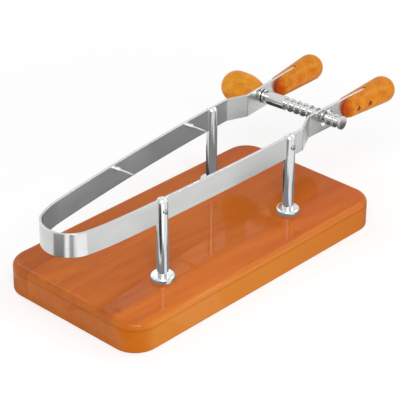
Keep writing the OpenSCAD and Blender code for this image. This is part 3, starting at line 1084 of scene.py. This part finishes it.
def floor_material():
    """Pale paint that also glows, more so far away from the lamps."""
    material, tree, paint = shader("studio_floor")
    paint.inputs["Base Color"].default_value = grey(0.45)
    paint.inputs["Roughness"].default_value = 0.9
    paint.inputs["Specular IOR Level"].default_value = 0.0
    paint.inputs["Emission Color"].default_value = grey(1)
    ramp_reach = 3.0
    place = tree.nodes.new("ShaderNodeTexCoord").outputs["Object"]
    far = add(tree, "ShaderNodeVectorMath", operation="LENGTH")
    tree.links.new(place, far.inputs[0])
    share = maths(tree, "DIVIDE", far.outputs["Value"], ramp_reach)
    glow = ramp(tree, share, [(0.15, grey(0.6)), (0.35, grey(0.66)),
                              (0.9, grey(0.84))])
    tree.links.new(glow, paint.inputs["Emission Strength"])
    return material


def flat_sheet(name, corners, height, material):
    mesh = bpy.data.meshes.new(name)
    mesh.from_pydata([(x, y, height) for x, y in corners], [],
                     [tuple(range(len(corners)))])
    mesh.materials.append(material)
    obj = bpy.data.objects.new(name, mesh)
    bpy.context.scene.collection.objects.link(obj)
    return obj


def card_material(name, level):
    material = bpy.data.materials.new(name)
    material.use_nodes = True
    tree = material.node_tree
    tree.nodes.clear()
    glow = add(tree, "ShaderNodeEmission", Color=grey(1), Strength=level)
    out = tree.nodes.new("ShaderNodeOutputMaterial")
    tree.links.new(glow.outputs[0], out.inputs["Surface"])
    return material


def reflection_card(name, corners, height, level):
    """A glowing sheet on the floor that only shows in polished metal, as a painted
    reflection.
    """
    obj = flat_sheet(name, corners, height, card_material(name, level))
    obj.visible_camera = False
    obj.visible_diffuse = False
    obj.visible_shadow = False
    obj.visible_transmission = False


# Each card is its name, its brightness and its corners on the floor; each paints a dark
# or bright reflection into the polished metal
CARDS = (
    ("mat_card", 0.27, [
        (-0.225, -0.192), (0.1, -0.192), (0.1, -0.2), (0.24, -0.2),
        (0.24, -0.178), (0.335, -0.178), (0.335, 0.125), (-0.225, 0.125)]),
    ("slant_grey_card", 0.4, [
        (0.335, -0.112), (0.46, -0.112), (0.46, -0.083), (0.335, -0.083)]),
    ("bend_dark_card", 0.15, [
        (-0.226, 0.02), (-0.42, 0.058), (-0.54, 0.064), (-0.54, -0.19),
        (-0.40, -0.08), (-0.30, -0.03)]),
    ("bend_white_card", 1.8, [
        (-0.40, -0.08), (-0.54, -0.19), (-0.47, -0.254), (-0.387, -0.135)]),
    ("bend_grey_card", 0.25, [
        (-0.387, -0.135), (-0.47, -0.254), (-0.392, -0.30), (-0.350, -0.18)]),
    ("front_white_card", 1.6, [
        (-0.350, -0.18), (-0.392, -0.30), (-0.155, -0.32), (-0.175, -0.20)]),
    ("post_dark_card", 0.04, [
        (-0.253, -0.034), (-0.391, -0.009), (-0.40, -0.08), (-0.325, -0.20),
        (-0.225, -0.145)]),
    ("left_post_white_card", 1.0, [
        (-0.118, -0.075), (-0.145, -0.20), (-0.02, -0.20), (-0.05, -0.14),
        (-0.10, -0.075)]),
    ("right_post_white_card", 1.0, [
        (0.0, -0.145), (0.15, -0.145), (0.15, -0.20), (-0.01, -0.20)]),
    ("rod_dark_card", 0.06, [
        (-0.02, 0.06), (0.33, 0.06), (0.33, 0.24), (-0.02, 0.24)]),
    ("ring_dark_card", 0.06, [
        (0.345, -0.205), (0.43, -0.205), (0.43, -0.11), (0.345, -0.11)]),
    ("ring_back_dark_card", 0.06, [
        (0.345, 0.02), (0.43, 0.02), (0.43, 0.20), (0.345, 0.20)]),
)


def stage():
    """The floor, and on it the cards, each a little above the one before."""
    reach = 6.0
    lowest_card, card_step = 0.4 * MM, 0.1 * MM
    flat_sheet("studio_floor", [(-reach, -reach), (reach, -reach), (reach, reach),
                                (-reach, reach)], 0, floor_material())
    for number, (name, level, corners) in enumerate(CARDS):
        reflection_card(name, corners, lowest_card + number * card_step, level)


def world():
    """White to the eye and in reflections, and dimmer as a light."""
    made = bpy.data.worlds.new("studio")
    bpy.context.scene.world = made
    made.use_nodes = True
    tree = made.node_tree
    background = tree.nodes["Background"]
    background.inputs["Color"].default_value = grey(1)
    path = tree.nodes.new("ShaderNodeLightPath")
    seen = maths(tree, "ADD", path.outputs["Is Camera Ray"],
                 path.outputs["Is Glossy Ray"])
    seen = maths(tree, "ADD", seen, path.outputs["Is Transmission Ray"])
    fill = 0.42
    strength = maths(tree, "MULTIPLY_ADD", seen, 1 - fill, fill)
    tree.links.new(strength, background.inputs["Strength"])


def lamp(name, place, target, size, power):
    data = bpy.data.lights.new(name, "AREA")
    data.shape = "SQUARE"
    data.size = size
    data.energy = power
    obj = bpy.data.objects.new(name, data)
    bpy.context.scene.collection.objects.link(obj)
    obj.location = place
    aim = Vector(target) - Vector(place)
    obj.rotation_mode = "QUATERNION"
    obj.rotation_quaternion = aim.to_track_quat("-Z", "Y")


def lamps():
    """Three soft lamps round the object, and two small ones for its glints."""
    centre = (0, 0, 0.08)
    near_corner = (-0.15, -0.11, 0.035)
    lamp("key_lamp", (-1.2, -1.1, 1.7), centre, size=1.2, power=24)
    lamp("side_lamp", (1.6, -0.7, 1.5), centre, size=1.0, power=8)
    lamp("back_lamp", (0.2, 1.9, 1.6), centre, size=1.2, power=8)
    lamp("glint_lamp", (-0.9, -1.5, 1.3), centre, size=0.12, power=2)
    lamp("edge_glint_lamp", (1.1, -1.39, 0.91), near_corner, size=0.1, power=1.5)


def camera():
    """The photo's camera, as fitted to the board, the posts and the arms."""
    azimuth, elevation = math.radians(-46.577), math.radians(29.222)
    roll = math.radians(0.119)
    place = Vector((-1333.39, -1269.63, 1104.98)) * MM
    photo_px, focal_px = 400, 1737.19
    back = Vector((math.sin(azimuth) * math.cos(elevation),
                   -math.cos(azimuth) * math.cos(elevation),
                   math.sin(elevation)))
    right = (-back).cross(Vector((0, 0, 1))).normalized()
    up = back.cross(right)
    turned_right = right * math.cos(roll) + up * math.sin(roll)
    turned_up = up * math.cos(roll) - right * math.sin(roll)
    data = bpy.data.cameras.new("photo_camera")
    data.sensor_width = 36.0
    data.lens = focal_px / photo_px * data.sensor_width
    data.clip_start, data.clip_end = 0.05, 50.0
    obj = bpy.data.objects.new("photo_camera", data)
    bpy.context.scene.collection.objects.link(obj)
    turn = Matrix((turned_right, turned_up, back)).transposed().to_4x4()
    obj.matrix_world = Matrix.Translation(place) @ turn
    bpy.context.scene.camera = obj


stage()
world()
lamps()
camera()
bpy.context.scene.view_settings.view_transform = "Standard"
